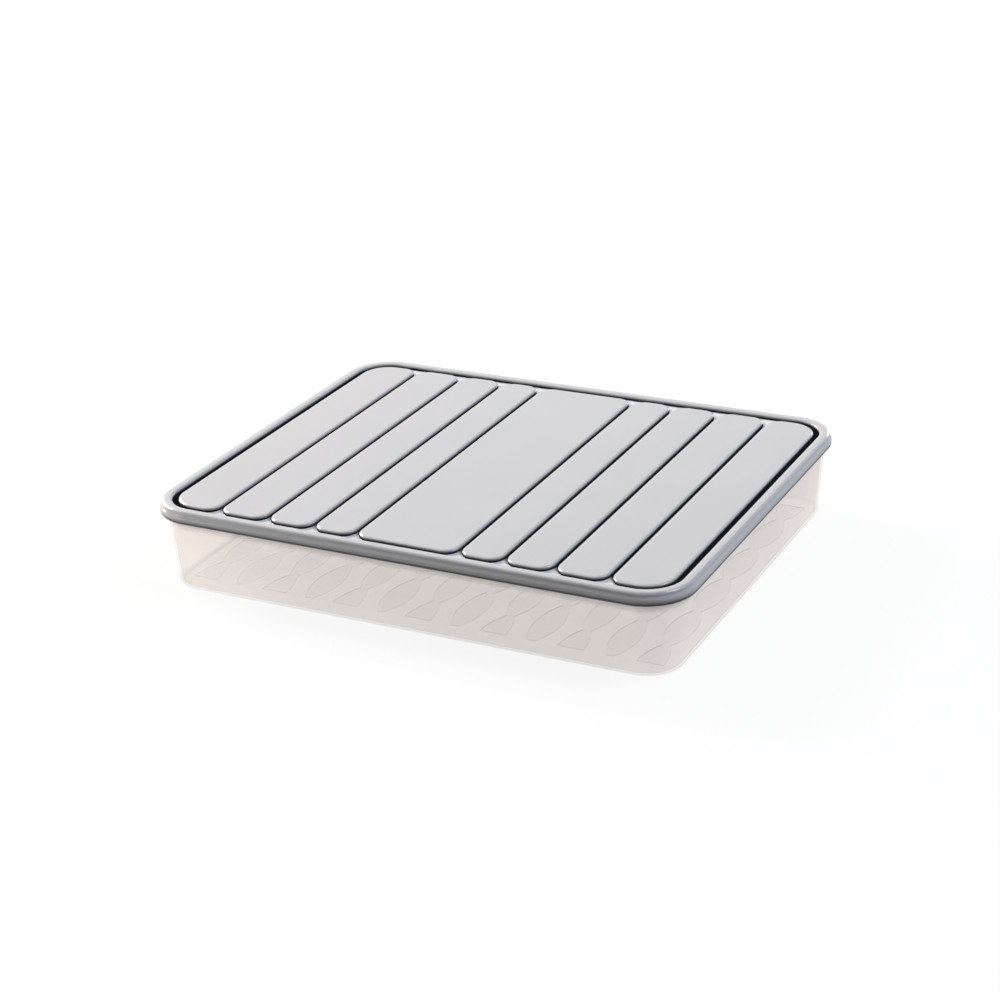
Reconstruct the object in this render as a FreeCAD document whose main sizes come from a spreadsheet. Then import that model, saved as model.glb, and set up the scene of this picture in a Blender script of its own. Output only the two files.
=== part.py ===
"""Flat refrigerator storage container: a drafted tray and the press-on lid that lifts off it.

The origin is at the middle of the tray's underside, with +X along the long side and +Z up.
"""
import FreeCAD
import Part
import Sketcher
import math
import os
from types import SimpleNamespace

# Driving dimensions, in millimetres
SIZES = {
    # Box of the closed container, and the plan radius of the lid's corners
    "overall_length": 282.0,
    "overall_width": 227.0,
    "overall_height": 45.0,
    "corner_radius": 24.0,
    # Lid: one moulded wall, with a two-step skirt, a raised rim and a sunk field
    "lid_wall": 1.3,
    "skirt_height": 6.2,
    "band_height": 3.6,
    "rim_setback": 1.1,
    "field_drop": 2.5,
    "hem_chamfer": 0.8,
    "shoulder_round": 0.9,
    "rim_round": 1.4,
    # Raised pads in the lid's field: a wide one, and others that widen from beside it outwards
    "channel": 3.1,
    "groove": 1.9,
    "pad_drop": 0.3,
    "middle_pad": 52.8,
    "pad_width_step": 2.0,
    "pad_corner": 7.5,
    "pad_lean": 0.2,
    "pad_chamfer": 0.6,
    # Tray: drafted walls that end in a lip inside the lid's rim
    "tray_wall": 1.2,
    "tray_floor": 1.2,
    "draft_run": 3.3,
    "base_round": 3.0,
    "inside_round": 1.8,
    "lip_depth": 0.5,
    "lip_height": 1.6,
    "lip_chamfer": 0.3,
    # Room between the lip and the skirt, and between the tray's wall and the lid's inner wall
    "fit_clearance": 0.3,
    "inner_clearance": 0.6,
    # Wavy relief on the tray's floor
    "relief_height": 0.7,
    "relief_bulge": 13.4,
    "relief_waist": 4.0,
    "relief_end_margin": 11.5,
    "relief_side_margin": 6.7,
}

# How many pads lie on each side of the middle one, and how the relief is divided
PADS_EACH_SIDE = 4
WAVES = 5
LEAF_COLUMNS = 6
HOURGLASS_COLUMNS = LEAF_COLUMNS + 1

# A round edge is eased in two straight steps that meet on its arc, at this share of its radius
EASE_SHARE = 1 - math.sqrt(0.5)

# The most that a pad's corner takes of the width left beside its larger corner at the rim
CORNER_SHARE = 0.8

# Faces count as level with a height when they differ from it by less than this share of a wall
LEVEL_SHARE = 1e-4

UP = FreeCAD.Vector(0, 0, 1)
ORIGIN_POINT = (-1, 1)

doc = FreeCAD.newDocument("storage_container")
sheet = doc.addObject("Spreadsheet::Sheet", "sizes")
for row, (alias, value) in enumerate(SIZES.items(), start=1):
    sheet.set(f"A{row}", alias)
    sheet.set(f"B{row}", str(value))
    sheet.setAlias(f"B{row}", alias)
doc.recompute()


class Size:
    """A length written as an expression on the sheet, so that a feature can be tied to it."""

    def __init__(self, text):
        self.text = str(text)

    def __str__(self):
        return self.text

    def __float__(self):
        return float(sheet.evalExpression(self.text))

    def __neg__(self):
        return Size(f"-({self.text})")

    def __add__(self, other):
        return Size(f"({self.text} + {other})")

    def __sub__(self, other):
        return Size(f"({self.text} - {other})")

    def __mul__(self, other):
        return Size(f"({self.text} * {other})")

    def __truediv__(self, other):
        return Size(f"({self.text} / {other})")

    def at_most(self, other):
        return Size(f"min({self.text}; {other})")


size = SimpleNamespace(**{alias: Size(f"sizes.{alias}") for alias in SIZES})
ZERO = Size(0)

# Plan outlines run parallel to the lid's edge, each set in from it by an inset
HALF_LENGTH = size.overall_length / 2
HALF_WIDTH = size.overall_width / 2
SLOT_OUTER = size.rim_setback + size.lid_wall
LIP_OUTER = SLOT_OUTER + size.fit_clearance
WALL_TOP = LIP_OUTER + size.lip_depth
WALL_TOP_INSIDE = WALL_TOP + size.tray_wall
SLOT_INNER = WALL_TOP_INSIDE + size.inner_clearance
RIM_INNER = SLOT_INNER + size.lid_wall
PAD_FIELD = RIM_INNER + size.channel

# Width of the narrowest pad, from the room beside the middle one less the grooves and the steps
PAD_ROOM = HALF_LENGTH - PAD_FIELD - size.middle_pad / 2 - size.groove * PADS_EACH_SIDE
NARROW_PAD = PAD_ROOM / PADS_EACH_SIDE - size.pad_width_step * (PADS_EACH_SIDE - 1) / 2
OUTER_PAD = NARROW_PAD + size.pad_width_step * (PADS_EACH_SIDE - 1)

# Corners of the pads: the outermost pad's outer ones run parallel to the rim's corners
RIM_SIDE_CORNER = size.corner_radius - PAD_FIELD
PAD_CORNER = size.pad_corner.at_most((OUTER_PAD - RIM_SIDE_CORNER) * CORNER_SHARE)

# Heights in the tray, above its underside
TRAY_HEIGHT = size.overall_height - size.lid_wall
FLOOR_LEVEL = size.tray_floor
LIP_LEVEL = TRAY_HEIGHT - size.lip_height

# Heights in the lid, above its skirt's lower edge
CROWN_UNDERSIDE = size.skirt_height - size.lid_wall
FIELD_LEVEL = size.skirt_height - size.field_drop
FIELD_UNDERSIDE = FIELD_LEVEL - size.lid_wall
PAD_LEVEL = size.skirt_height - size.pad_drop
PAD_UNDERSIDE = PAD_LEVEL - size.lid_wall


def new_body(label):
    """An empty body whose label names its file."""
    body = doc.addObject("PartDesign::Body", label)
    body.Label = label
    return body


def origin_plane(body, role):
    """One of the body's own origin planes."""
    return next(item for item in body.Origin.OriginFeatures if item.Role == role)


def new_sketch(body, name, level):
    """An empty sketch parallel to the body's XY plane, at a level."""
    sketch = body.newObject("Sketcher::SketchObject", name)
    sketch.AttachmentSupport = [(origin_plane(body, "XY_Plane"), "")]
    sketch.MapMode = "FlatFace"
    sketch.setExpression("AttachmentOffset.Base.z", str(level))
    return sketch


def coordinate(geometry, end, axis, place):
    """A constraint on one coordinate of a point, with the expression that drives it."""
    point = (geometry, end)
    here = float(place)
    if here < 0:
        return Sketcher.Constraint(f"Distance{axis}", *point, *ORIGIN_POINT, -here), -place
    return Sketcher.Constraint(f"Distance{axis}", *ORIGIN_POINT, *point, here), place


def arc_radius(geometry, radius):
    """A constraint on an arc's radius, with the expression that drives it."""
    return Sketcher.Constraint("Radius", geometry, float(radius)), radius


def constrain(sketch, rows):
    """Add constraints together, and tie each one that has an expression to it."""
    first = sketch.ConstraintCount
    sketch.addConstraint([constraint for constraint, expression in rows])
    for index, (constraint, expression) in enumerate(rows, start=first):
        if expression is not None:
            sketch.setExpression(f"Constraints[{index}]", str(expression))


def rounded_rectangle(sketch, left, right, front, back, left_radius, right_radius):
    """A closed rectangle with rounded corners, drawn anticlockwise from its front side."""
    x0, x1, y0, y1 = float(left), float(right), float(front), float(back)
    r0, r1 = float(left_radius), float(right_radius)
    runs = [
        ((x0 + r0, y0), (x1 - r1, y0)),
        ((x1, y0 + r1), (x1, y1 - r1)),
        ((x1 - r1, y1), (x0 + r0, y1)),
        ((x0, y1 - r0), (x0, y0 + r0)),
    ]
    corners = [
        ((x1 - r1, y0 + r1), r1, right_radius),
        ((x1 - r1, y1 - r1), r1, right_radius),
        ((x0 + r0, y1 - r0), r0, left_radius),
        ((x0 + r0, y0 + r0), r0, left_radius),
    ]
    lines, arcs, rows = [], [], []
    for quarter, ((start, end), (centre, radius, driver)) in enumerate(zip(runs, corners)):
        segment = Part.LineSegment(FreeCAD.Vector(*start), FreeCAD.Vector(*end))
        lines.append(sketch.addGeometry(segment))
        circle = Part.Circle(FreeCAD.Vector(*centre), UP, radius)
        begin = math.radians(90 * (quarter - 1))
        arcs.append(sketch.addGeometry(Part.ArcOfCircle(circle, begin, begin + math.pi / 2)))
        rows.append(arc_radius(arcs[-1], driver))
    for quarter in range(4):
        line, arc, following = lines[quarter], arcs[quarter], lines[(quarter + 1) % 4]
        rows.append((Sketcher.Constraint("Tangent", line, 2, arc, 1), None))
        rows.append((Sketcher.Constraint("Tangent", arc, 2, following, 1), None))
        rows.append((Sketcher.Constraint("Vertical" if quarter % 2 else "Horizontal", line), None))
    for line, axis, side in zip(lines, "YXYX", (front, right, back, left)):
        rows.append(coordinate(line, 1, axis, side))
    constrain(sketch, rows)


def outline_sketch(body, name, level, *insets):
    """A sketch of the container's outline at an inset, or at two that bound a ring."""
    sketch = new_sketch(body, name, level)
    for inset in insets:
        across = HALF_LENGTH - inset
        along = HALF_WIDTH - inset
        radius = size.corner_radius - inset
        rounded_rectangle(sketch, -across, across, -along, along, radius, radius)
    return sketch


def raise_up(body, name, sketch, height, lean=ZERO):
    """Raise a sketch into material whose sides lean in by a length at the top."""
    feature = body.newObject("PartDesign::Pad", name)
    feature.Profile = sketch
    feature.setExpression("Length", str(height))
    feature.setExpression("TaperAngle", f"-atan({lean} / {height})")
    doc.recompute()
    return feature


def check_removed(feature, before):
    """Stop if a cut pointed away from the material."""
    if not 0 < feature.Shape.Volume < before.Shape.Volume:
        raise RuntimeError(f"{feature.Label} cut nothing, or everything")


def sink(body, name, sketch, depth, upwards):
    """Sink a sketch into the body."""
    before = body.Tip
    feature = body.newObject("PartDesign::Pocket", name)
    feature.Profile = sketch
    feature.Reversed = upwards
    feature.setExpression("Length", str(depth))
    doc.recompute()
    check_removed(feature, before)
    return feature


def mirror(body, name, original):
    """Repeat a feature on the other side of the lid's middle."""
    feature = body.newObject("PartDesign::Mirrored", name)
    feature.Originals = [original]
    feature.MirrorPlane = (origin_plane(body, "YZ_Plane"), [""])
    body.Tip = feature
    doc.recompute()
    return feature


def eased_edge(level, inset, drop, run):
    """Steps from a flat face at a level to a wall at an inset, round an edge with that drop and run."""
    return [
        (level, inset + run),
        (level - drop * EASE_SHARE, inset + run * EASE_SHARE),
        (level - drop, inset),
    ]


def outline_loft(body, name, kind, steps):
    """A straight-walled loft through the container's outline at steps of level and inset."""
    sketches = [outline_sketch(body, f"{name}_outline_{number}", level, inset)
                for number, (level, inset) in enumerate(steps, start=1)]
    feature = body.newObject(f"PartDesign::{kind}", name)
    feature.Profile = sketches[0]
    feature.Sections = sketches[1:]
    feature.Ruled = True
    doc.recompute()
    return feature


def flat_faces(shape, level):
    """The faces that lie flat at a height."""
    height = float(level)
    near = float(size.lid_wall) * LEVEL_SHARE
    return [face for face in shape.Faces
            if abs(face.BoundBox.ZMin - height) < near and abs(face.BoundBox.ZMax - height) < near]


def chamfer(body, name, level, amount):
    """Break the outer edges of the flat faces at a height."""
    base = body.Tip
    wanted = [edge for face in flat_faces(base.Shape, level) for edge in face.OuterWire.Edges]
    names = [f"Edge{number}" for number, edge in enumerate(base.Shape.Edges, start=1)
             if any(edge.isSame(other) for other in wanted)]
    feature = body.newObject("PartDesign::Chamfer", name)
    feature.Base = (base, names)
    feature.setExpression("Size", str(amount))
    doc.recompute()
    return feature


def pad_sketches(body, name, level, inset):
    """Outlines of the middle pad, and of the pads to its right, each drawn in by an inset."""
    end = HALF_WIDTH - PAD_FIELD - inset
    plain = PAD_CORNER - inset
    beside_rim = RIM_SIDE_CORNER - inset
    middle = new_sketch(body, f"{name}_middle_outline", level)
    half = size.middle_pad / 2 - inset
    rounded_rectangle(middle, -half, half, -end, end, plain, plain)
    right = new_sketch(body, f"{name}_right_outline", level)
    near = size.middle_pad / 2
    for steps in range(PADS_EACH_SIDE):
        near = near + size.groove
        far = near + NARROW_PAD + size.pad_width_step * steps
        far_radius = beside_rim if steps == PADS_EACH_SIDE - 1 else plain
        rounded_rectangle(right, near + inset, far - inset, -end, end, plain, far_radius)
        near = far
    return middle, right


# Lid: a lower band, a rim set back above it, a sunk field within the rim, and the field's pads
lid = new_body("lid")
lid.setExpression("Placement.Base.z", str(size.overall_height - size.skirt_height))
band_top = eased_edge(size.band_height, ZERO, size.shoulder_round, size.shoulder_round)
hem = [(size.hem_chamfer, ZERO), (ZERO, size.hem_chamfer)]
outline_loft(lid, "band", "AdditiveLoft", band_top + hem)
rim_top = eased_edge(size.skirt_height, size.rim_setback, size.rim_round, size.rim_round)
outline_loft(lid, "rim", "AdditiveLoft", rim_top + [(size.band_height, size.rim_setback)])
rim = lid.Tip
field_mouth = eased_edge(size.skirt_height, RIM_INNER, size.rim_round, -size.rim_round)
field = outline_loft(lid, "field", "SubtractiveLoft", field_mouth + [(FIELD_LEVEL, RIM_INNER)])
check_removed(field, rim)
pad_height = PAD_LEVEL - FIELD_LEVEL
middle_pad, right_pads = pad_sketches(lid, "pads", FIELD_LEVEL, ZERO)
raise_up(lid, "pads_middle", middle_pad, pad_height, size.pad_lean)
mirror(lid, "pads_left", raise_up(lid, "pads_right", right_pads, pad_height, size.pad_lean))
chamfer(lid, "pad_edges", PAD_LEVEL, size.pad_chamfer)

# Underside of the lid: the skirt's inside, the slot that takes the tray's lip, and the hollow pads
inside_outline = outline_sketch(lid, "inside_outline", ZERO, size.lid_wall)
sink(lid, "inside", inside_outline, FIELD_UNDERSIDE, upwards=True)
slot_outline = outline_sketch(lid, "slot_outline", ZERO, SLOT_OUTER, SLOT_INNER)
sink(lid, "slot", slot_outline, CROWN_UNDERSIDE, upwards=True)
middle_hollow, right_hollows = pad_sketches(lid, "hollows", ZERO, size.lid_wall + size.pad_lean)
sink(lid, "hollows_middle", middle_hollow, PAD_UNDERSIDE, upwards=True)
mirror(lid, "hollows_left", sink(lid, "hollows_right", right_hollows, PAD_UNDERSIDE, upwards=True))


def wall_outside(level):
    """Inset of the tray's drafted outer face at a level."""
    return WALL_TOP + size.draft_run * (TRAY_HEIGHT - level) / TRAY_HEIGHT


def wall_inside(level):
    """Inset of the tray's inner face at a level."""
    return wall_outside(level) + size.tray_wall


# Tray: a drafted shell with a rounded base, and a lip at its mouth that the lid presses over
tray = new_body("tray")
base_edge = eased_edge(ZERO, wall_outside(size.base_round), -size.base_round, size.base_round)
block = outline_loft(tray, "block", "AdditiveLoft", [(TRAY_HEIGHT, WALL_TOP)] + base_edge[::-1])
ease_level = FLOOR_LEVEL + size.inside_round
floor_edge = eased_edge(FLOOR_LEVEL, wall_inside(ease_level), -size.inside_round, size.inside_round)
mouth = [(TRAY_HEIGHT, WALL_TOP_INSIDE)]
shell = outline_loft(tray, "shell", "SubtractiveLoft", mouth + floor_edge[::-1])
check_removed(shell, block)
lip_inside = WALL_TOP + size.tray_wall / 2
lip_outline = outline_sketch(tray, "lip_outline", LIP_LEVEL, LIP_OUTER, lip_inside)
raise_up(tray, "lip", lip_outline, size.lip_height)
chamfer(tray, "lip_edge", TRAY_HEIGHT, size.lip_chamfer)

# Relief on the tray's floor: columns of leaves, with columns of hourglasses between them half a
# wave behind. Both are chains of arcs that meet at narrow waists.
FLOOR_INSET = wall_inside(FLOOR_LEVEL)
RELIEF_HALF = HALF_WIDTH - FLOOR_INSET - size.relief_end_margin
WAVE = RELIEF_HALF * 2 / WAVES
SWELL = (size.relief_bulge - size.relief_waist) / 2
WAVE_RADIUS = (WAVE * WAVE / 4 + SWELL * SWELL) / (SWELL * 2)
OUTER_COLUMN = HALF_LENGTH - FLOOR_INSET - size.relief_side_margin - size.relief_bulge / 2
PITCH = OUTER_COLUMN * 2 / LEAF_COLUMNS


def leaf_ends():
    """Ends of a leaf column's arcs from front to back: half width, and place along the column."""
    return [(size.relief_waist / 2, WAVE * count - RELIEF_HALF) for count in range(WAVES + 1)]


def hourglass_ends():
    """The same for an hourglass column, which is cut off at full width at both ends."""
    waists = [(size.relief_waist / 2, WAVE * (count + 0.5) - RELIEF_HALF) for count in range(WAVES)]
    bulge = size.relief_bulge / 2
    return [(bulge, -RELIEF_HALF)] + waists + [(bulge, RELIEF_HALF)]


def swelling_arc(start, end, radius):
    """An anticlockwise arc between two points."""
    chord = end - start
    middle = (start + end) / 2
    outwards = chord.cross(UP).normalize()
    rise = radius - math.sqrt(radius ** 2 - (chord.Length / 2) ** 2)
    return Part.Arc(start, middle + outwards * rise, end)


def column_sketch(body, name, column, ends):
    """Outline of one relief column, drawn anticlockwise from its front right corner."""
    sketch = new_sketch(body, name, FLOOR_LEVEL)
    right = [(column + half, place) for half, place in ends]
    left = [(column - half, place) for half, place in reversed(ends)]
    corners = right + left
    points = [FreeCAD.Vector(float(x), float(y)) for x, y in corners]
    rows, pieces = [], []
    for index, start in enumerate(points):
        end = points[(index + 1) % len(points)]
        if index in (len(right) - 1, len(points) - 1):
            pieces.append(sketch.addGeometry(Part.LineSegment(start, end)))
        else:
            pieces.append(sketch.addGeometry(swelling_arc(start, end, float(WAVE_RADIUS))))
            rows.append(arc_radius(pieces[-1], WAVE_RADIUS))
    for index, piece in enumerate(pieces):
        rows.append((Sketcher.Constraint("Coincident", pieces[index - 1], 2, piece, 1), None))
        rows.append(coordinate(piece, 1, "X", corners[index][0]))
        rows.append(coordinate(piece, 1, "Y", corners[index][1]))
    constrain(sketch, rows)
    return sketch


def relief_columns(body, name, ends, count):
    """One relief column raised on the floor, and its copies along the tray."""
    reach = PITCH * (count - 1)
    sketch = column_sketch(body, f"{name}_outline", -reach / 2, ends)
    column = raise_up(body, f"{name}_column", sketch, size.relief_height)
    pattern = body.newObject("PartDesign::LinearPattern", f"{name}_columns")
    pattern.Originals = [column]
    pattern.Direction = (sketch, ["H_Axis"])
    pattern.Occurrences = count
    pattern.setExpression("Length", str(reach))
    body.Tip = pattern
    doc.recompute()


relief_columns(tray, "leaf", leaf_ends(), LEAF_COLUMNS)
relief_columns(tray, "hourglass", hourglass_ends(), HOURGLASS_COLUMNS)

# Check the whole document, then write one file for each piece
doc.recompute()
for item in doc.Objects:
    if {"Invalid", "Error"} & set(item.State):
        raise RuntimeError(f"{item.Label} failed: {item.State}")
os.makedirs("parts", exist_ok=True)
for piece in (lid, tray):
    shape = piece.Shape
    if shape.isNull() or not shape.isValid() or len(shape.Solids) != 1:
        raise RuntimeError(f"{piece.Label} is not one sound solid")
    print(f"{piece.Label}: {shape.Volume:.0f} cubic mm, box {shape.BoundBox}")
    shape.exportStep(f"parts/{piece.Label}.step")
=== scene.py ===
import bmesh
import bpy
import math
from mathutils import Matrix, Vector


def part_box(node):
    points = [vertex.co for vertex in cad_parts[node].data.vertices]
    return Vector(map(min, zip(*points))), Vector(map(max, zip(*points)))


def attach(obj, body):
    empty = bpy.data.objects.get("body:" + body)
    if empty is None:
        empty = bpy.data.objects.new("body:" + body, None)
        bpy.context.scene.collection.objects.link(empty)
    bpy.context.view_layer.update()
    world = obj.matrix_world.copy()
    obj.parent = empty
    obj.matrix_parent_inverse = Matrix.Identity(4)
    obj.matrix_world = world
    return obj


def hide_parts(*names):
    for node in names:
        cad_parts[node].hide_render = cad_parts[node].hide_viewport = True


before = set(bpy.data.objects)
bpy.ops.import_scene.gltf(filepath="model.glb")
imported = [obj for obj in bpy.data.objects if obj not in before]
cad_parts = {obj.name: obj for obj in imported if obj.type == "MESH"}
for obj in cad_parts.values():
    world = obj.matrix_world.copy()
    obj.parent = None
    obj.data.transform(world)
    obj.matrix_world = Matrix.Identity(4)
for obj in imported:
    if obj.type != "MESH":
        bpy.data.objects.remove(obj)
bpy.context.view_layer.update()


# Tray. One injection moulding in frosted polypropylene, about a millimetre thick, with drafted walls,
# a rounded base and a lip round its mouth that the lid presses over. A wavy relief of leaves and
# hourglasses stands on its floor and keeps what lies there from sticking.
tray_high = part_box("tray")[1]
lid_low, lid_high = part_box("lid")
HALF_LENGTH = lid_high.x
HALF_WIDTH = lid_high.y
CORNER_RADIUS = 0.024
CORNER_STEPS = 14
ROUND_STEPS = 6
TRAY_WALL = 0.0012
TRAY_FLOOR = 0.0012
LIP_INSET = HALF_LENGTH - tray_high.x
LIP_DEPTH = 0.0005
LIP_HEIGHT = 0.0016
LIP_ROUND = 0.0003
WALL_TOP = LIP_INSET + LIP_DEPTH
DRAFT_RUN = 0.0033
BASE_ROUND = 0.0030
INSIDE_ROUND = 0.0018
RELIEF_HEIGHT = 0.0007
RELIEF_EDGE = 0.0003
RELIEF_BULGE = 0.0134
RELIEF_WAIST = 0.0040
RELIEF_END_MARGIN = 0.0115
RELIEF_SIDE_MARGIN = 0.0067
WAVES = 5
WAVE_STEPS = 12
LEAF_COLUMNS = 6
SHARP_ANGLE = math.radians(40)


def rounded_outline(left, right, front, back, left_radius, right_radius):
    """Points of a rectangle with rounded corners, anticlockwise from its front right corner."""
    corners = [
        (right - right_radius, front + right_radius, right_radius),
        (right - right_radius, back - right_radius, right_radius),
        (left + left_radius, back - left_radius, left_radius),
        (left + left_radius, front + left_radius, left_radius),
    ]
    points = []
    for quarter, (x, y, radius) in enumerate(corners):
        for step in range(CORNER_STEPS + 1):
            angle = math.pi / 2 * (quarter - 1 + step / CORNER_STEPS)
            points.append((x + radius * math.cos(angle), y + radius * math.sin(angle)))
    return points


def container_outline(inset):
    """The container's own outline, set in from the lid's edge."""
    x, y, radius = HALF_LENGTH - inset, HALF_WIDTH - inset, CORNER_RADIUS - inset
    return rounded_outline(-x, x, -y, y, radius, radius)


def rounded_step(corner, before, after, before_radius, after_radius=None):
    """Profile points round a corner, given the directions from it to the legs before and after it."""
    before = Vector(before).normalized() * before_radius
    after = Vector(after).normalized() * (after_radius or before_radius)
    centre = Vector(corner) + before + after
    turns = [math.pi / 2 * step / ROUND_STEPS for step in range(ROUND_STEPS + 1)]
    return [centre - after * math.cos(turn) - before * math.sin(turn) for turn in turns]


def add_loop(mesh, points, level):
    """Vertices of a closed loop at a level."""
    return [mesh.verts.new((x, y, level)) for x, y in points]


def join_loops(mesh, first, second):
    """A band of faces between two loops with as many points."""
    for here in range(len(first)):
        there = (here + 1) % len(first)
        mesh.faces.new((first[here], first[there], second[there], second[here]))


def add_skin(mesh, outline, profile):
    """Bands through an outline's loops along a profile of insets and levels; gives all the loops."""
    loops = [add_loop(mesh, outline(inset), level) for inset, level in profile]
    for first, second in zip(loops, loops[1:]):
        join_loops(mesh, first, second)
    return loops


def fill_flat(mesh, *loops):
    """Fill the flat area within the first loop and outside the others."""
    edges = [mesh.edges.get(pair) or mesh.edges.new(pair)
             for loop in loops for pair in zip(loop, loop[1:] + loop[:1])]
    bmesh.ops.triangle_fill(mesh, use_beauty=True, edges=edges)


def finish_piece(mesh, name, material, body):
    """Make a smooth-shaded piece that stands for a body's only node and rides on it."""
    bmesh.ops.recalc_face_normals(mesh, faces=mesh.faces)
    data = bpy.data.meshes.new(name)
    mesh.to_mesh(data)
    mesh.free()
    data.shade_smooth()
    data.set_sharp_from_angle(angle=SHARP_ANGLE)
    data.materials.append(material)
    piece = bpy.data.objects.new(name, data)
    bpy.context.scene.collection.objects.link(piece)
    normals = piece.modifiers.new("flat_faces_stay_flat", "WEIGHTED_NORMAL")
    normals.keep_sharp = True
    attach(piece, body)
    return piece


def wall_inset(level):
    """Inset of the tray's drafted outer face at a level."""
    return WALL_TOP + DRAFT_RUN * (1 - level / tray_high.z)


INWARD, OUTWARD, UP, DOWN = (1, 0), (-1, 0), (0, 1), (0, -1)
wall_up = (-DRAFT_RUN / tray_high.z, 1)
wall_down = (DRAFT_RUN / tray_high.z, -1)
lip_low = tray_high.z - LIP_HEIGHT
tray_profile = (
    rounded_step((wall_inset(0), 0), INWARD, wall_up, BASE_ROUND)
    + [Vector((wall_inset(lip_low), lip_low))]
    + rounded_step((LIP_INSET, lip_low), INWARD, UP, LIP_ROUND)
    + rounded_step((LIP_INSET, tray_high.z), DOWN, INWARD, LIP_ROUND)
    + rounded_step((WALL_TOP + TRAY_WALL, tray_high.z), OUTWARD, wall_down, LIP_ROUND)
    + rounded_step((wall_inset(TRAY_FLOOR) + TRAY_WALL, TRAY_FLOOR), wall_up, INWARD, INSIDE_ROUND)
)
floor_inset = wall_inset(TRAY_FLOOR) + TRAY_WALL
relief_half = HALF_WIDTH - floor_inset - RELIEF_END_MARGIN
wave = 2 * relief_half / WAVES
swell = (RELIEF_BULGE - RELIEF_WAIST) / 2
wave_radius = (wave * wave / 4 + swell * swell) / (2 * swell)
outer_column = HALF_LENGTH - floor_inset - RELIEF_SIDE_MARGIN - RELIEF_BULGE / 2
pitch = 2 * outer_column / LEAF_COLUMNS


def half_bulge(place, phase):
    """Half width of a relief column at a place along it; the phase says where its waists lie."""
    along = (place + relief_half) / wave + phase
    from_bulge = (along - math.floor(along) - 0.5) * wave
    return RELIEF_BULGE / 2 - wave_radius + math.sqrt(wave_radius ** 2 - from_bulge ** 2)


def column_outline(column, phase):
    """A function that gives a relief column's outline, drawn in by an inset."""
    def outline(inset):
        count = WAVES * WAVE_STEPS
        places = [relief_half * (2 * step / count - 1) for step in range(count + 1)]
        widths = [half_bulge(place, phase) - inset for place in places]
        squeeze = 1 - inset / relief_half
        right = [(column + width, place * squeeze) for width, place in zip(widths, places)]
        left = [(column - width, place * squeeze) for width, place in zip(widths, places)]
        return right + left[::-1]
    return outline


tray_mesh = bmesh.new()
tray_loops = add_skin(tray_mesh, container_outline, tray_profile)
fill_flat(tray_mesh, tray_loops[0])
relief_profile = [Vector((0, TRAY_FLOOR))]
relief_profile += rounded_step((0, TRAY_FLOOR + RELIEF_HEIGHT), DOWN, INWARD, RELIEF_EDGE)
relief_feet = []
for number in range(2 * LEAF_COLUMNS + 1):
    column = (number - LEAF_COLUMNS) * pitch / 2
    phase = 0 if number % 2 else 0.5
    column_loops = add_skin(tray_mesh, column_outline(column, phase), relief_profile)
    relief_feet.append(column_loops[0])
    top = column_loops[-1]
    for here in range(len(top) // 2 - 1):
        there = len(top) - 1 - here
        tray_mesh.faces.new((top[here], top[here + 1], top[there - 1], top[there]))
fill_flat(tray_mesh, tray_loops[-1], *relief_feet)


class Shade:
    """A socket in a material's node tree; a sum written on it adds the Math nodes that work it out."""

    def __init__(self, tree, socket=None):
        self.tree = tree
        self.socket = socket

    def node(self, kind, settings=None, inputs=None, output=0):
        """Add a node, with its settings, then the values or links of its sockets; gives an output."""
        node = self.tree.nodes.new(kind)
        for name, value in (settings or {}).items():
            setattr(node, name, value)
        for key, value in (inputs or {}).items():
            if isinstance(value, Shade):
                self.tree.links.new(value.socket, node.inputs[key])
            else:
                node.inputs[key].default_value = value
        return Shade(self.tree, node.outputs[output] if node.outputs else None)

    def sum(self, operation, *values):
        return self.node("ShaderNodeMath", {"operation": operation}, dict(enumerate(values)))

    def __add__(self, other):
        return self.sum("ADD", self, other)

    def __sub__(self, other):
        return self.sum("SUBTRACT", self, other)

    def __rsub__(self, other):
        return self.sum("SUBTRACT", other, self)

    def __mul__(self, other):
        return self.sum("MULTIPLY", self, other)

    __radd__ = __add__
    __rmul__ = __mul__

    def axis(self, name):
        """One of a vector's three values."""
        return self.node("ShaderNodeSeparateXYZ", inputs={0: self}, output=name)

    def ramp(self, low, high):
        """From 0 where the value is at the low mark to 1 where it is at the high one, smoothly."""
        settings = {"interpolation_type": "SMOOTHSTEP"}
        return self.node("ShaderNodeMapRange", settings, {0: self, 1: low, 2: high})

    def blend(self, first, second):
        """A colour between two, with this value as the share of the second."""
        return self.node("ShaderNodeMix", {"data_type": "RGBA"}, {0: self, 6: first, 7: second}, 2)


def new_material(name):
    """An empty material, and the shader maths of its node tree."""
    material = bpy.data.materials.new(name)
    material.use_nodes = True
    material.node_tree.nodes.clear()
    return material, Shade(material.node_tree)


FROST = (0.92, 0.87, 0.835, 1)
FROST_THICK = (0.80, 0.75, 0.715, 1)
FROST_LIP_AND_SHADE = (0.70, 0.62, 0.60, 1)
FROST_TINT = (0.999, 0.986, 0.978, 1)
FROST_GRAIN = 2200
FROST_BUMP = 0.25
FROST_ROUGHNESS = 0.34
FROST_ROUGHNESS_SPREAD = 0.12
FROST_GLOW_SHARE = 0.5
GRAIN_DEPTH = 0.00005
GRAIN_DETAIL = 2
CLOUD_SCALE = 22
CLOUD_DETAIL = 3
COVER_SHARE = 0.02
COVER_CLOUD_SHARE = 0.03
COVER_RELIEF_SHARE = 0.05
COVER_FLANK_SHARE = 0.12
COVER_WALL_SHARE = 0.13
COVER_FOOT_SHARE = 0.15
COVER_LIP_AND_SHADE_SHARE = 0.4
THICK_RELIEF_SHARE = 0.5
UNDER_LID_REACH = 4 * LIP_HEIGHT
RELIEF_FOOT_SHARES = (0.2, 0.8)
RELIEF_TOP_SHARES = (1.1, 1.6)
FLANK_FOOT_SHARES = (-0.1, 0.1)
FLANK_TOP_SHARES = (0.9, 1.2)
STEEP_FACING = (0.3, 0.9)
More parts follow.
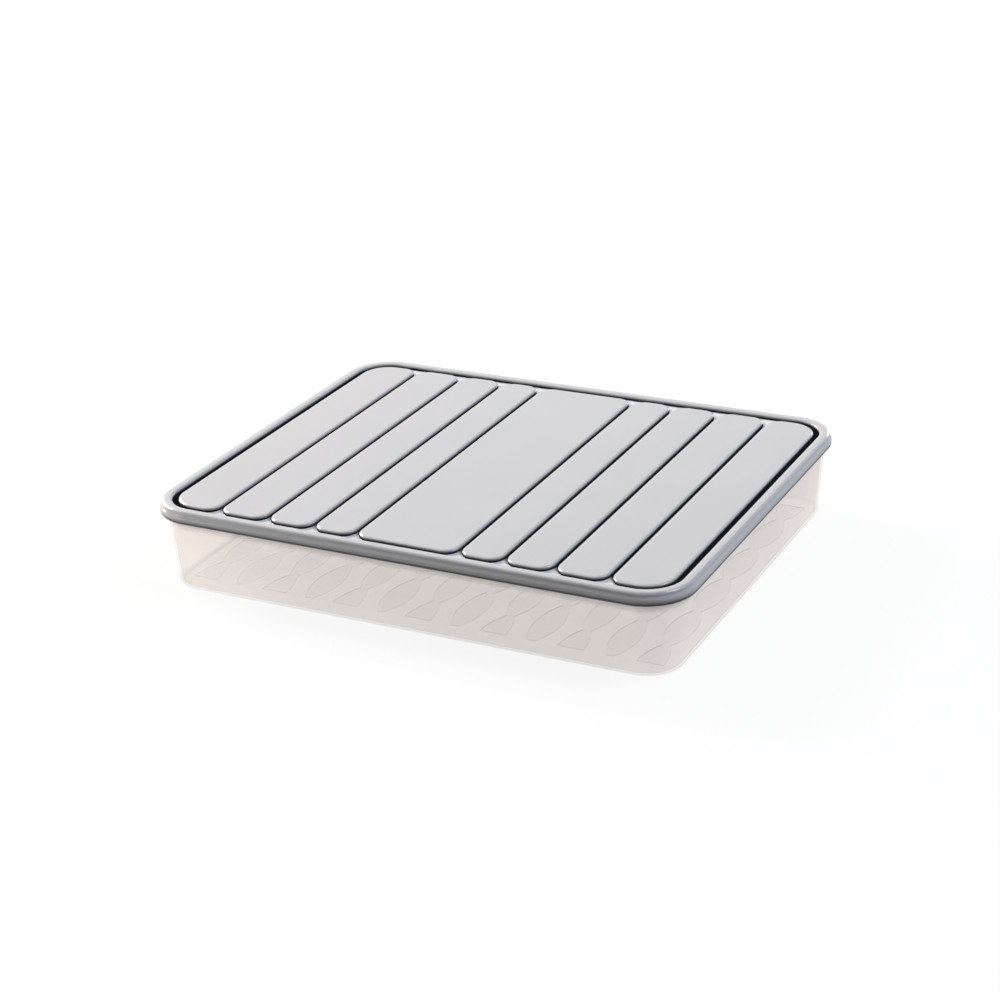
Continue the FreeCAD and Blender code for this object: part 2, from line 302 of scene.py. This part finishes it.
FOOT_FACING = (0.9, 0.999)


def moulded_surface(shade, grain_scale, bump_strength):
    """A moulding's place, how far it faces up, its faint clouds, and the bump of its fine grain."""
    place = shade.node("ShaderNodeTexCoord", output="Object")
    facing_up = shade.node("ShaderNodeNewGeometry", output="Normal").axis("Z")
    clouds, grain = (
        shade.node("ShaderNodeTexNoise", inputs={"Vector": place, "Scale": scale, "Detail": detail})
        for scale, detail in ((CLOUD_SCALE, CLOUD_DETAIL), (grain_scale, GRAIN_DETAIL))
    )
    relief = {"Height": grain, "Strength": bump_strength, "Distance": GRAIN_DEPTH}
    return place, facing_up, clouds, shade.node("ShaderNodeBump", inputs=relief)


def relief_ramp(level, shares):
    """A ramp between two levels, given as shares of the relief's height above the floor."""
    return level.ramp(*(TRAY_FLOOR + share * RELIEF_HEIGHT for share in shares))


# The frost covers the clear plastic more on the walls and the relief, at the foot and under the lid.
frosted_plastic, shade = new_material("frosted_plastic")
place, facing_up, clouds, bump = moulded_surface(shade, FROST_GRAIN, FROST_BUMP)
level = place.axis("Z")
flatness = shade.sum("ABSOLUTE", facing_up)
steep = 1 - flatness.ramp(*STEEP_FACING)
low = 1 - relief_ramp(level, FLANK_TOP_SHARES)
relief = relief_ramp(level, RELIEF_FOOT_SHARES) * (1 - relief_ramp(level, RELIEF_TOP_SHARES))
flank = steep * low * relief_ramp(level, FLANK_FOOT_SHARES)
walls = steep * (1 - low)
foot = (1 - level.ramp(0, BASE_ROUND)) * (1 - flatness.ramp(*FOOT_FACING))
# Partly the lip's thicker frost, partly painted shade of the lid: the frost is denser, darker and
# pinker just under the lid's hem.
lip_frost_and_shade = level.ramp(lid_low.z - UNDER_LID_REACH, lid_low.z)
thick = (relief + flank) * THICK_RELIEF_SHARE + foot
cover = (
    COVER_SHARE
    + clouds * COVER_CLOUD_SHARE
    + relief * COVER_RELIEF_SHARE
    + flank * COVER_FLANK_SHARE
    + walls * COVER_WALL_SHARE
    + foot * COVER_FOOT_SHARE
    + lip_frost_and_shade * COVER_LIP_AND_SHADE_SHARE
)
clear = shade.node("ShaderNodeBsdfTransparent", inputs={"Color": FROST_TINT})
frost = shade.node("ShaderNodeBsdfPrincipled", inputs={
    "Base Color": lip_frost_and_shade.blend(thick.blend(FROST, FROST_THICK), FROST_LIP_AND_SHADE),
    "Roughness": FROST_ROUGHNESS + clouds * FROST_ROUGHNESS_SPREAD,
    "Normal": bump,
})
glow = shade.node("ShaderNodeBsdfTranslucent", inputs={"Color": FROST})
frost = shade.node("ShaderNodeMixShader", inputs={0: FROST_GLOW_SHARE, 1: frost, 2: glow})
surface = shade.node("ShaderNodeMixShader", inputs={0: cover, 1: clear, 2: frost})
shade.node("ShaderNodeOutputMaterial", inputs={"Surface": surface})

tray_shell = finish_piece(tray_mesh, "tray_shell", frosted_plastic, "tray")
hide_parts("tray")


# Lid. One moulding in satin grey plastic: a skirt in two steps that presses over the tray's lip, a
# raised rim above it, and a sunk field with nine flat pads, which are hollow underneath.
LID_WALL = 0.0013
BAND_HEIGHT = 0.0036
RIM_SETBACK = 0.0011
FIELD_DROP = 0.0025
HEM_RUN = 0.0005
HEM_RISE = 0.0018
HEM_INNER_ROUND = 0.0003
SHOULDER_RISE = 0.0024
SHOULDER_STEPS = 10
RIM_RUN = 0.0017
RIM_INNER_FALL = 0.0009
RIM_INNER_RUN = 0.0017
FIELD_ROUND = 0.0005
INNER_CLEARANCE = 0.0006
CHANNEL = 0.0031
GROOVE = 0.0019
PAD_DROP = 0.0003
MIDDLE_PAD = 0.0528
PAD_WIDTH_STEP = 0.0020
PAD_CORNER = 0.0075
PAD_LEAN = 0.0002
PAD_FALL = 0.0007
PAD_RUN = 0.0016
PAD_FOOT = 0.0003
HOLLOW_ROUND = 0.0006
PADS_EACH_SIDE = 4

hem_level = lid_low.z
crown_level = lid_high.z
shoulder_top = hem_level + BAND_HEIGHT + SHOULDER_RISE / 2
field_level = crown_level - FIELD_DROP
pad_level = crown_level - PAD_DROP
slot_outer = RIM_SETBACK + LID_WALL
slot_inner = WALL_TOP + TRAY_WALL + INNER_CLEARANCE
rim_inner = slot_inner + LID_WALL
pad_field = rim_inner + CHANNEL


def soft_shoulder():
    """Profile points of the S-shaped step in from the band, up to where the rim's edge starts."""
    shares = [step / SHOULDER_STEPS for step in range(SHOULDER_STEPS)]
    start = shoulder_top - SHOULDER_RISE
    return [Vector((RIM_SETBACK * t * t * (3 - 2 * t), start + SHOULDER_RISE * t)) for t in shares]


lid_outside = (
    rounded_step((LID_WALL, hem_level), UP, OUTWARD, HEM_INNER_ROUND)
    + rounded_step((0, hem_level), INWARD, UP, HEM_RUN, HEM_RISE)
    + soft_shoulder()
    + rounded_step((RIM_SETBACK, crown_level), DOWN, INWARD, crown_level - shoulder_top, RIM_RUN)
    + rounded_step((rim_inner, crown_level), OUTWARD, DOWN, RIM_INNER_RUN, RIM_INNER_FALL)
    + rounded_step((rim_inner, field_level), UP, INWARD, FIELD_ROUND)
)
lid_inside = [
    Vector((LID_WALL, field_level - LID_WALL)),
    Vector((slot_outer, field_level - LID_WALL)),
    Vector((slot_outer, crown_level - LID_WALL)),
    Vector((slot_inner, crown_level - LID_WALL)),
    Vector((slot_inner, field_level - LID_WALL)),
]


def pad_outline(left, right, left_corner, right_corner):
    """A function that gives a pad's outline, drawn in by an inset."""
    end = HALF_WIDTH - pad_field

    def outline(inset):
        corners = (left_corner - inset, right_corner - inset)
        return rounded_outline(left + inset, right - inset, inset - end, end - inset, *corners)
    return outline


pads = [(-MIDDLE_PAD / 2, MIDDLE_PAD / 2, PAD_CORNER, PAD_CORNER)]
pad_room = HALF_LENGTH - pad_field - MIDDLE_PAD / 2 - GROOVE * PADS_EACH_SIDE
narrow_pad = pad_room / PADS_EACH_SIDE - PAD_WIDTH_STEP * (PADS_EACH_SIDE - 1) / 2
near = MIDDLE_PAD / 2
for step in range(PADS_EACH_SIDE):
    near += GROOVE
    far = near + narrow_pad + PAD_WIDTH_STEP * step
    far_corner = CORNER_RADIUS - pad_field if step == PADS_EACH_SIDE - 1 else PAD_CORNER
    pads.append((near, far, PAD_CORNER, far_corner))
    pads.append((-far, -near, far_corner, PAD_CORNER))
    near = far

pad_height = pad_level - field_level
pad_rise = (PAD_LEAN, pad_height)
pad_fall = (-PAD_LEAN, -pad_height)
pad_profile = (
    rounded_step((0, field_level), OUTWARD, pad_rise, PAD_FOOT)
    + rounded_step((PAD_LEAN, pad_level), pad_fall, INWARD, PAD_FALL, PAD_RUN)
)
hollow_inset = LID_WALL + PAD_LEAN
hollow_level = pad_level - LID_WALL
hollow_profile = [Vector((hollow_inset, field_level - LID_WALL))]
hollow_profile += rounded_step((hollow_inset, hollow_level), DOWN, INWARD, HOLLOW_ROUND)

lid_mesh = bmesh.new()
lid_loops = add_skin(lid_mesh, container_outline, lid_inside[::-1] + lid_outside)
pad_feet, hollow_mouths = [], []
for pad in pads:
    outline = pad_outline(*pad)
    pad_loops = add_skin(lid_mesh, outline, pad_profile)
    fill_flat(lid_mesh, pad_loops[-1])
    pad_feet.append(pad_loops[0])
    hollow_loops = add_skin(lid_mesh, outline, hollow_profile)
    fill_flat(lid_mesh, hollow_loops[-1])
    hollow_mouths.append(hollow_loops[0])
fill_flat(lid_mesh, lid_loops[-1], *pad_feet)
fill_flat(lid_mesh, lid_loops[0], *hollow_mouths)

GREY = (0.535, 0.525, 0.53, 1)
GREY_DEEP = (0.495, 0.485, 0.492, 1)
GREY_PAINTED_LIT = (0.82, 0.82, 0.83, 1)
CREVICE_SHADE = (0.012, 0.012, 0.018, 1)
SATIN_GRAIN = 2600
SATIN_BUMP = 0.2
SATIN_ROUGHNESS = 0.32
SATIN_ROUGHNESS_SPREAD = 0.10
POLISH_SHARE = 0.65
POLISH_FLAT_FACING = (0.9, 0.995)
POLISH_STEEP_FACING = (0.3, 0.6)
SUNK_SHARES = (0.25, 1)
OPEN_FACING = (0.6, 0.95)
OPEN_END_SHARES = (1.2, 0.5)
OPEN_SIDE_SHARES = (2, 1)
HEM_SHARES = (0.25, 0.55)
HEM_SHADE_SHARE = 0.65

# The grooves, the channel and in part the hem get painted shade, a near-black colour mixed in. The
# grooves' open ends get none of it, and a pale grey there is painted light.
# Rounded edges are glossier than the flats, as where a mould is polished.
grey_plastic, shade = new_material("grey_plastic")
place, facing_up, clouds, bump = moulded_surface(shade, SATIN_GRAIN, SATIN_BUMP)
level = place.axis("Z")
across = shade.sum("ABSOLUTE", place.axis("X"))
along = shade.sum("ABSOLUTE", place.axis("Y"))
sunk = 1 - level.ramp(*(field_level + share * pad_height for share in SUNK_SHARES))
hem = 1 - level.ramp(*(hem_level + share * BAND_HEIGHT for share in HEM_SHARES))
pads_end = HALF_WIDTH - pad_field
pads_side = HALF_LENGTH - pad_field
# Painted light: where the grooves open onto the channel, the field gets a pale grey and no painted
# shade.
painted_lit_end = facing_up.ramp(*OPEN_FACING)
painted_lit_end *= along.ramp(*(pads_end - share * PAD_CORNER for share in OPEN_END_SHARES))
painted_lit_end *= 1 - across.ramp(*(pads_side - share * PAD_CORNER for share in OPEN_SIDE_SHARES))
past_side = shade.sum("MAXIMUM", across - (HALF_LENGTH - CORNER_RADIUS), 0)
past_end = shade.sum("MAXIMUM", along - (HALF_WIDTH - CORNER_RADIUS), 0)
reach = shade.sum("SQRT", past_side * past_side + past_end * past_end)
rim_reach = CORNER_RADIUS - rim_inner
within = 1 - reach.ramp(rim_reach, rim_reach + RIM_INNER_FALL)
polished = (1 - facing_up.ramp(*POLISH_FLAT_FACING)) * facing_up.ramp(*POLISH_STEEP_FACING)
roughness = SATIN_ROUGHNESS + clouds * SATIN_ROUGHNESS_SPREAD
satin = shade.node("ShaderNodeBsdfPrincipled", inputs={
    "Base Color": (sunk * painted_lit_end).blend(clouds.blend(GREY_DEEP, GREY), GREY_PAINTED_LIT),
    "Roughness": roughness * (1 - polished * POLISH_SHARE),
    "Normal": bump,
})
# Painted shade: a near-black colour mixed into the grooves and the channel, and in part into the hem.
painted_shade_bsdf = shade.node("ShaderNodeBsdfDiffuse", inputs={"Color": CREVICE_SHADE})
painted_shade_share = shade.sum("MAXIMUM", sunk * within * (1 - painted_lit_end), hem * HEM_SHADE_SHARE)
surface = shade.node("ShaderNodeMixShader", inputs={0: painted_shade_share, 1: satin, 2: painted_shade_bsdf})
shade.node("ShaderNodeOutputMaterial", inputs={"Surface": surface})

lid_shell = finish_piece(lid_mesh, "lid_shell", grey_plastic, "lid")
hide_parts("lid")


# Floor. A wide plain sheet that lies just under the container. It is white where it is seen, straight
# or in the plastic, and keeps a faint shadow of the container.
FLOOR_REACH = 6.0
FLOOR_GAP = 0.0002
FLOOR_COLOUR = (0.25, 0.25, 0.26, 1)
WHITE = (1, 1, 1, 1)
SHADOW_SHARE = 0.1


def white_to_rays(shade):
    """1 for the rays that see the backdrop straight, in a reflection or through the plastic."""
    seen = shade.node("ShaderNodeLightPath", output="Is Camera Ray")
    for ray in ("Is Glossy Ray", "Is Transmission Ray"):
        seen = shade.sum("MAXIMUM", seen, shade.node("ShaderNodeLightPath", output=ray))
    return seen


floor_sweep, shade = new_material("floor_sweep")
seen = white_to_rays(shade)
matte = shade.node("ShaderNodeBsdfDiffuse", inputs={"Color": seen.blend(FLOOR_COLOUR, WHITE)})
glow = shade.node("ShaderNodeEmission", inputs={"Color": WHITE, "Strength": 1})
surface = shade.node("ShaderNodeMixShader", inputs={0: seen * (1 - SHADOW_SHARE), 1: matte, 2: glow})
shade.node("ShaderNodeOutputMaterial", inputs={"Surface": surface})
floor_mesh = bmesh.new()
corners = [(-1, -1), (1, -1), (1, 1), (-1, 1)]
floor_mesh.faces.new([floor_mesh.verts.new((x * FLOOR_REACH, y * FLOOR_REACH, 0)) for x, y in corners])
floor_data = bpy.data.meshes.new("floor")
floor_mesh.to_mesh(floor_data)
floor_mesh.free()
floor_data.materials.append(floor_sweep)
floor = bpy.data.objects.new("floor", floor_data)
floor.location.z = -FLOOR_GAP
bpy.context.scene.collection.objects.link(floor)


# Light. A large warm lamp on the container's left, cooler ones behind it and high on its right, and a
# small weak one close to its front left corner. The surround is dim, and white where it is seen.
AMBIENT = 0.01
AMBIENT_COLOUR = (0.92, 0.95, 1, 1)
world = bpy.data.worlds.new("studio")
bpy.context.scene.world = world
world.use_nodes = True
world.node_tree.nodes.clear()
shade = Shade(world.node_tree)
seen = white_to_rays(shade)
dim = shade.node("ShaderNodeBackground", inputs={"Color": AMBIENT_COLOUR, "Strength": AMBIENT})
bright = shade.node("ShaderNodeBackground", inputs={"Color": WHITE, "Strength": 1})
surround = shade.node("ShaderNodeMixShader", inputs={0: seen, 1: dim, 2: bright})
shade.node("ShaderNodeOutputWorld", inputs={"Surface": surround})


def add_lamp(name, place, size, power, colour):
    """A square soft lamp that shines at the container."""
    lamp = bpy.data.lights.new(name, "AREA")
    lamp.size = size
    lamp.energy = power
    lamp.color = colour
    holder = bpy.data.objects.new(name, lamp)
    holder.location = place
    holder.rotation_euler = Vector(place).to_track_quat("Z", "Y").to_euler()
    bpy.context.scene.collection.objects.link(holder)


add_lamp("key", place=(-1.9, 0.5, 0.85), size=1.2, power=82, colour=(1, 0.945, 0.88))
add_lamp("back", place=(0.3, 2, 0.5), size=0.8, power=9, colour=(0.88, 0.93, 1))
add_lamp("side", place=(1.2, 0.4, 1.7), size=1, power=33, colour=(0.82, 0.89, 1))
add_lamp("front", place=(-0.5, -0.5, 0.15), size=0.25, power=1.2, colour=(1, 0.98, 0.95))


# Camera. It looks down at the container from its front right, a little rolled, through a long lens.
# Its values are solved from the container's edges in the photo.
VIEW_AZIMUTH = math.radians(27.4)
VIEW_ELEVATION = math.radians(23.66)
VIEW_ROLL = math.radians(-2.39)
VIEW_DISTANCE = 1.13611
VIEW_SHIFT = (-0.0041, 0.0034)
LENS = 80.87
camera = bpy.data.objects.new("camera", bpy.data.cameras.new("camera"))
camera.data.lens = LENS
camera.data.shift_x, camera.data.shift_y = VIEW_SHIFT
turn = Matrix.Rotation(VIEW_AZIMUTH, 3, "Z") @ Matrix.Rotation(math.pi / 2 - VIEW_ELEVATION, 3, "X")
aim = Vector((0, 0, crown_level / 2))
camera.location = aim + turn @ Vector((0, 0, VIEW_DISTANCE))
camera.rotation_euler = (turn @ Matrix.Rotation(VIEW_ROLL, 3, "Z")).to_euler()
bpy.context.scene.collection.objects.link(camera)
bpy.context.scene.camera = camera
bpy.context.scene.view_settings.view_transform = "Standard"
